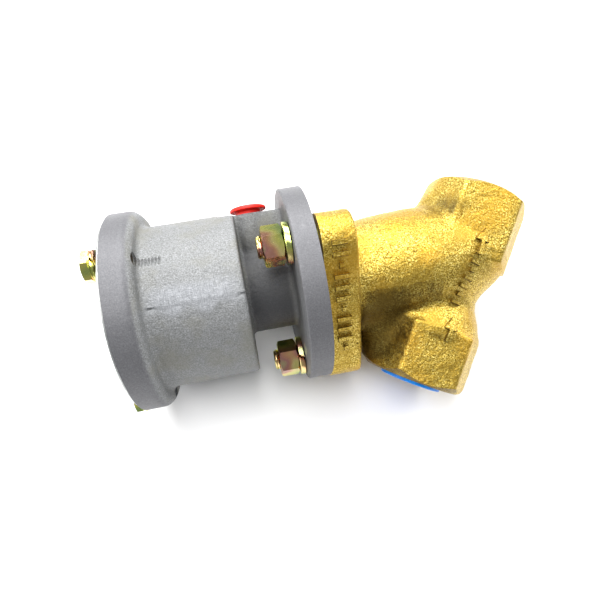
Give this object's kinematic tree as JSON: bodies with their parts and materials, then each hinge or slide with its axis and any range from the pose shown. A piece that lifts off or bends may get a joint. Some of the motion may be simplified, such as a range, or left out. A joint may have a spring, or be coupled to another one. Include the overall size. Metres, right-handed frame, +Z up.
{
  "type": "piston-operated y-pattern valve",
  "caption": "Y-pattern shut-off valve with a bronze body, hexagon pipe ends and a spring-return air piston in a flanged aluminium cylinder; shipping plugs in two ports.",
  "frame": {"origin": "under the middle of the valve's box, on the surface it lies on", "axes": "+X along the stem from the cover to the body, +Z up, lying on both flange rims and the lower hexagon"},
  "size_m": [0.1902, 0.1036, 0.0864],
  "materials": {
    "cast_aluminium": "as-cast, matte grey, with smoother machined rims",
    "plated_cover": "bright plated sheet",
    "cast_bronze": "sand-cast bronze, sparkling grain",
    "gasket": "dark fibre sheet",
    "yellow_zinc": "yellow zinc plate with iridescent patches",
    "spring_steel": "oiled spring wire",
    "stainless": "turned stainless steel",
    "machined_aluminium": "turned aluminium",
    "bushing_bronze": "turned bearing bronze",
    "black_rubber": "nitrile rubber",
    "white_ptfe": "white PTFE",
    "blue_plastic": "soft polyethylene, satin",
    "red_plastic": "soft polyethylene, satin"
  },
  "bodies": {
    "valve": {"actuator_housing": "cast_aluminium", "cover_plate": "plated_cover", "valve_body": "cast_bronze", "body_gasket": "gasket", "cover_screw_1": "yellow_zinc", "cover_lock_washer_1": "yellow_zinc", "body_stud_1": "yellow_zinc", "stud_nut_1": "yellow_zinc", "stud_lock_washer_1": "yellow_zinc", "cover_screw_2": "yellow_zinc", "cover_lock_washer_2": "yellow_zinc", "body_stud_2": "yellow_zinc", "stud_nut_2": "yellow_zinc", "stud_lock_washer_2": "yellow_zinc", "cover_screw_3": "yellow_zinc", "cover_lock_washer_3": "yellow_zinc", "body_stud_3": "yellow_zinc", "stud_nut_3": "yellow_zinc", "stud_lock_washer_3": "yellow_zinc", "return_spring": "spring_steel", "stem_bushing": "bushing_bronze", "stem_o_ring": "black_rubber", "packing_base_ring": "bushing_bronze", "packing_ring_1": "white_ptfe", "packing_ring_2": "white_ptfe", "packing_ring_3": "white_ptfe", "packing_top_ring": "bushing_bronze", "packing_spring": "spring_steel", "packing_spring_seat": "stainless", "packing_snap_ring": "spring_steel"},
    "stem_assembly": {"piston": "machined_aluminium", "piston_seal": "black_rubber", "piston_washer": "stainless", "piston_nut": "stainless", "stem": "stainless", "disc_holder": "stainless", "seat_disc": "white_ptfe", "disc_retainer": "stainless", "disc_nut": "stainless"},
    "blue_plug": {"blue_port_plug": "blue_plastic"},
    "red_plug": {"red_air_plug": "red_plastic"}
  },
  "joints": [
    {"name": "stem_lift", "type": "slide", "parent": "valve", "child": "stem_assembly", "axis": [-1, 0, 0], "range_m": [0, 0.012], "stiffness_N_per_m": 2000, "springref_m": -0.005, "deforming": ["return_spring"]},
    {"name": "blue_plug_pull", "type": "slide", "parent": "valve", "child": "blue_plug", "axis": [-0.5, -0.7887, -0.3578], "range_m": [0, 0.014]},
    {"name": "red_plug_pull", "type": "slide", "parent": "valve", "child": "red_plug", "axis": [0, 0.9107, 0.4131], "range_m": [0, 0.011]}
  ]
}
